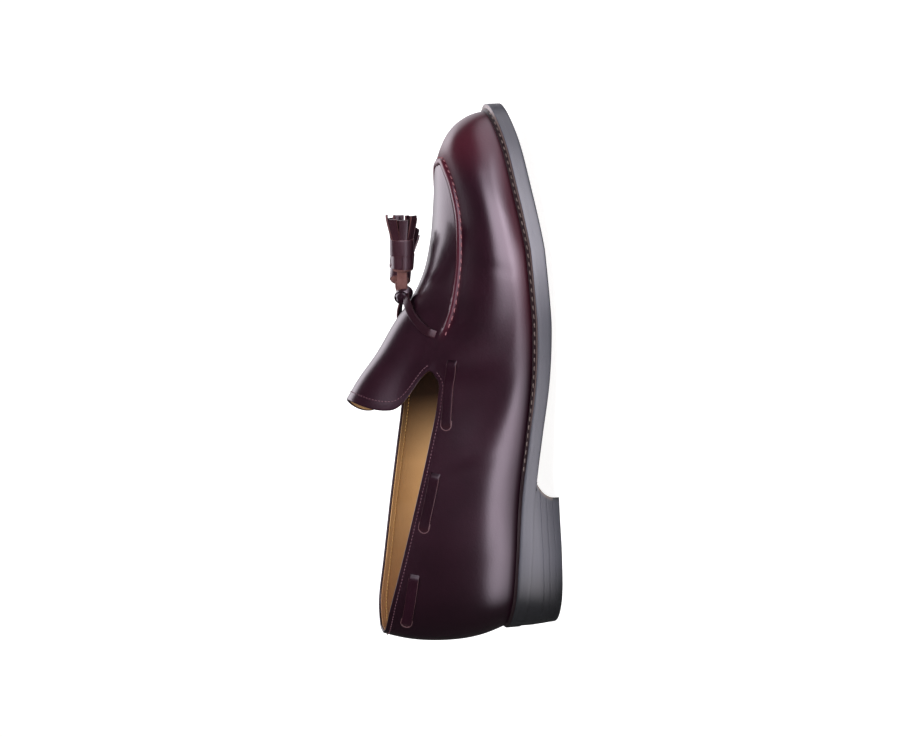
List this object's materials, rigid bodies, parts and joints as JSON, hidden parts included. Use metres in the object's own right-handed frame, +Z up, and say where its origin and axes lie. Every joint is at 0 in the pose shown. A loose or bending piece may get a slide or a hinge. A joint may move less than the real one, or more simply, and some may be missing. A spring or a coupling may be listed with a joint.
{
  "type": "tassel loafer",
  "caption": "Right tassel loafer: hollow lasted leather upper with apron seam and tongue lip, welt, leather sole, stacked heel, collar lace and fringed tassels.",
  "frame": {"origin": "on the floor, below the middle of the shoe's length and width", "axes": "+X to the toe, +Y to the medial (inner) side, +Z up"},
  "size_m": [0.3, 0.1119, 0.109],
  "materials": {
    "upper_leather": "polished burgundy leather",
    "lace_leather": "burgundy leather lace and tassel strips",
    "welt_leather": "grey-brown waxed welt",
    "sole_leather": "dark inked and polished sole edge",
    "heel_rubber": "dark heel top piece",
    "lining_leather": "tan lining leather"
  },
  "bodies": {
    "root": {"outsole": "sole_leather", "welt": "welt_leather", "heel_top_piece": "heel_rubber", "heel_lift_1": "sole_leather", "heel_lift_2": "sole_leather", "heel_seat_lift": "sole_leather", "insole": "lining_leather", "upper": "upper_leather", "collar_lace_lateral_1": "lace_leather", "collar_lace_lateral_2": "lace_leather", "collar_lace_lateral_3": "lace_leather", "collar_lace_medial_1": "lace_leather", "collar_lace_medial_2": "lace_leather", "collar_lace_medial_3": "lace_leather", "tassel_lace_lateral": "lace_leather", "tassel_lace_medial": "lace_leather", "tassel_knot": "lace_leather", "tassel_lateral": "lace_leather", "tassel_medial": "lace_leather"}
  },
  "joints": []
}
